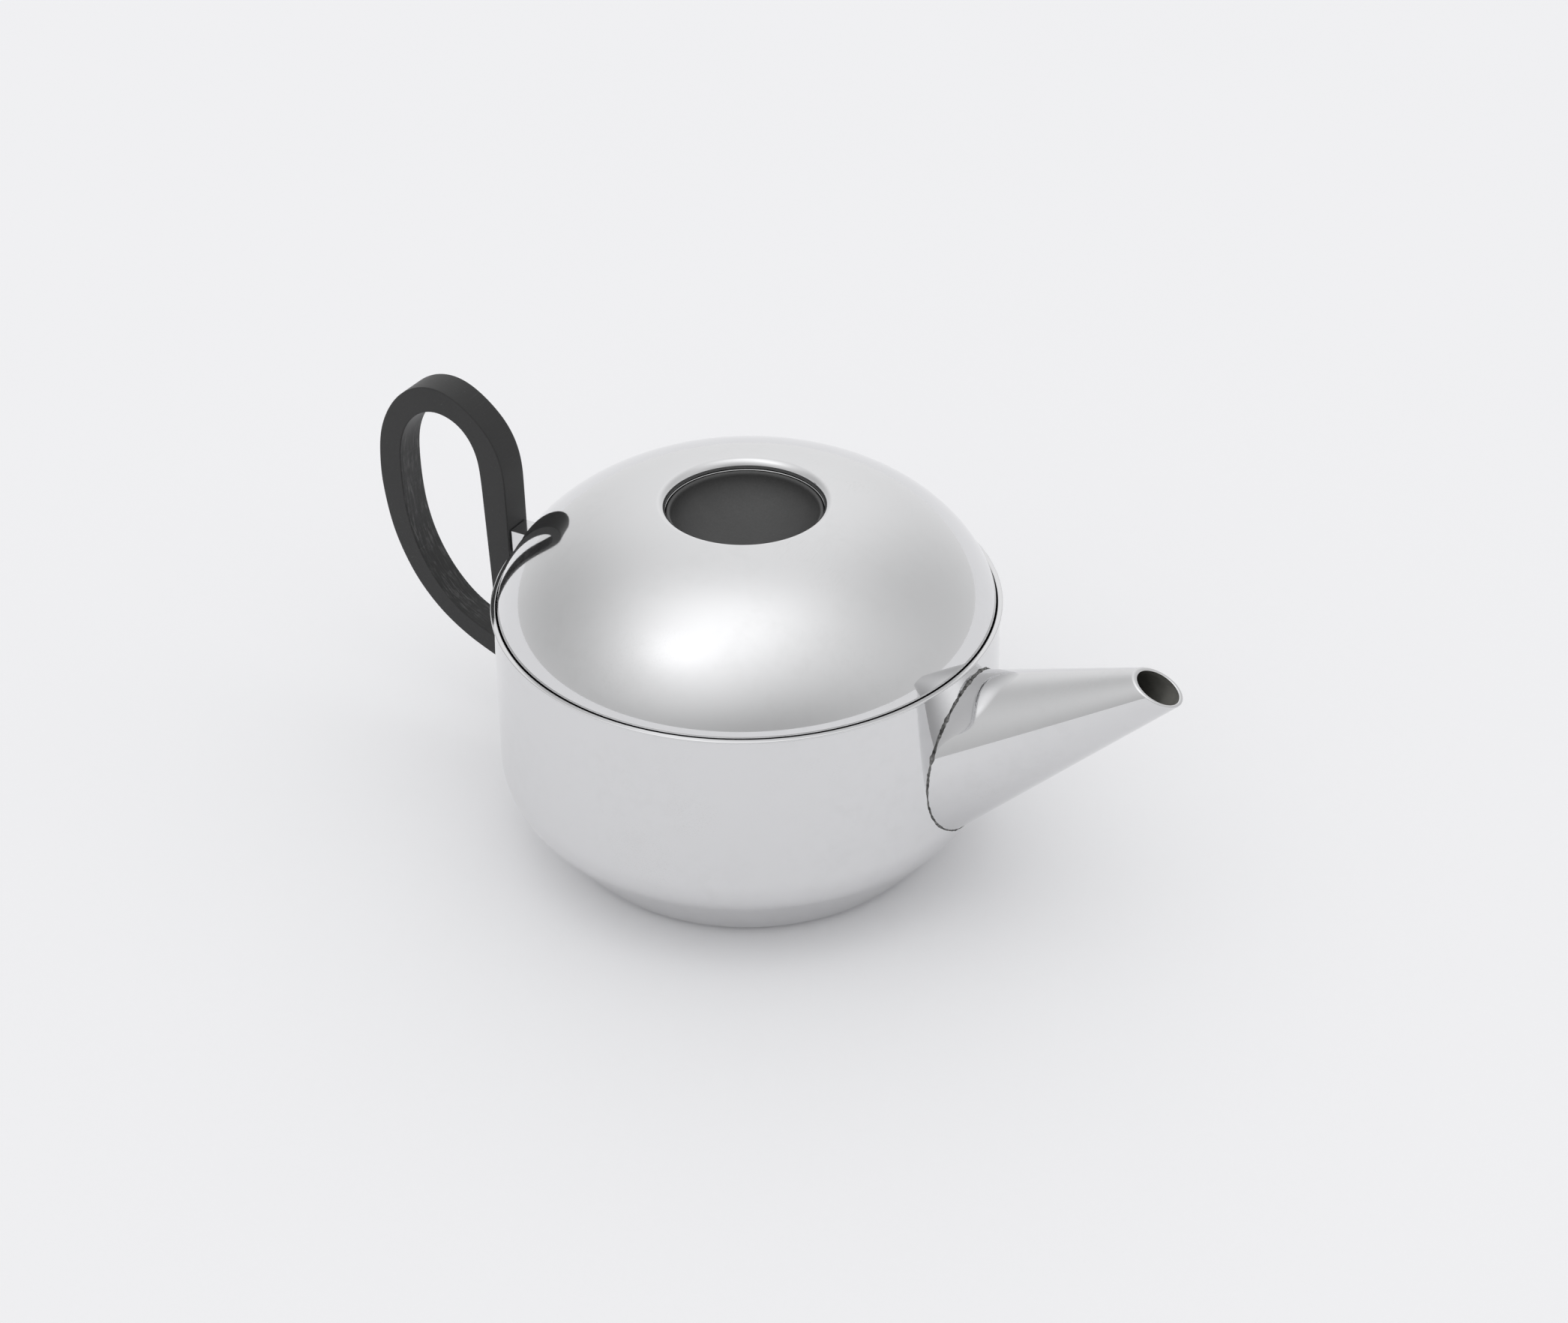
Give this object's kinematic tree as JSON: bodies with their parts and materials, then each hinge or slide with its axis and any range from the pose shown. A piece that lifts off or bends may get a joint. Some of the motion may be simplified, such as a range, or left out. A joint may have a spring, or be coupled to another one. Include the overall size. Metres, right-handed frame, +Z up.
{
  "type": "teapot",
  "caption": "Round polished metal teapot with a conical spout, a black loop handle and a domed lift-off lid that has a black finger recess in its crown.",
  "frame": {"origin": "centre of the flat base, on the surface that the pot stands on", "axes": "+Z up along the pot's turning axis, +X towards the spout, -X towards the handle"},
  "size_m": [0.2831, 0.1604, 0.1321],
  "materials": {
    "polished_steel": "polished, with very fine polishing marks",
    "plain_steel": "fine brushed",
    "black_resin": "satin black phenolic resin",
    "brass": "turned",
    "seal_rubber": "matt"
  },
  "bodies": {
    "pot": {"body_shell": "polished_steel", "lid_seat_ring": "plain_steel", "spout_cone": "polished_steel", "handle_loop": "black_resin", "rim_block": "polished_steel", "rim_screw": "plain_steel", "rim_screw_washer": "plain_steel", "foot_insert": "brass", "foot_seal": "seal_rubber", "foot_washer": "plain_steel", "foot_screw": "plain_steel"},
    "lid": {"lid_dome": "polished_steel", "lid_locating_ring": "plain_steel", "grip_cup": "black_resin", "grip_pan": "plain_steel", "grip_insert": "brass", "grip_seal": "seal_rubber", "grip_washer": "plain_steel", "grip_screw": "plain_steel"}
  },
  "joints": [
    {"name": "lid_lift", "type": "slide", "parent": "pot", "child": "lid", "axis": [0, 0, 1], "range_m": [0, 0.07]}
  ]
}
